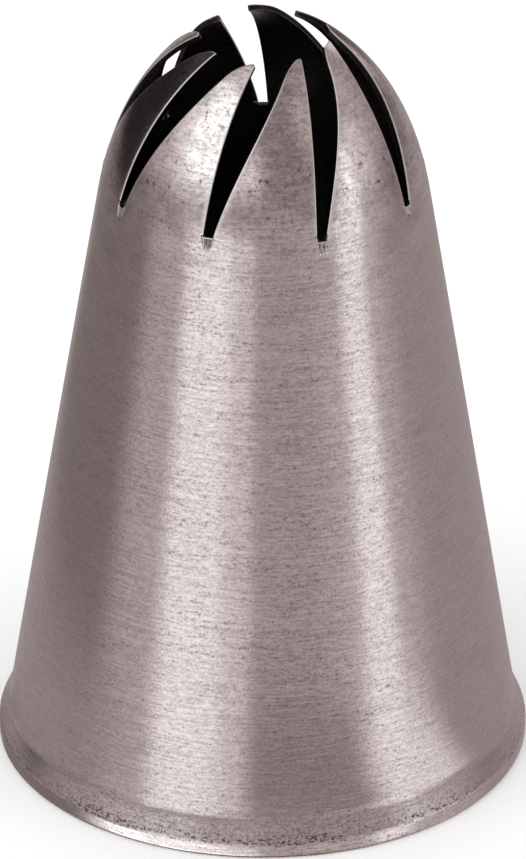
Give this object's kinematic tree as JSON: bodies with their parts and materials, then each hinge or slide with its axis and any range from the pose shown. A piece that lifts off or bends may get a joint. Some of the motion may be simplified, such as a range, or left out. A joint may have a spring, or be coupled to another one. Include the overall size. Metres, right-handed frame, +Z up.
{
  "type": "piping nozzle",
  "caption": "Stainless piping nozzle: a tapered tube with a rounded lip at its open base, and a domed crown that swirling slots part into pointed petals round an open mouth.",
  "frame": {"origin": "middle of the open base, on the plane that the nozzle stands on", "axes": "+Z up the nozzle's axis, from the base to the mouth; -Y faces the camera of the picture, and +X is to its right"},
  "size_m": [0.0344, 0.0344, 0.05],
  "materials": {
    "steel": "satin, brushed round the axis, with fine dark pits"
  },
  "bodies": {
    "root": {"base_lip": "steel", "cone_wall": "steel", "petal_1": "steel", "petal_2": "steel", "petal_3": "steel", "petal_4": "steel", "petal_5": "steel", "petal_6": "steel", "petal_7": "steel", "petal_8": "steel", "petal_9": "steel"}
  },
  "joints": []
}
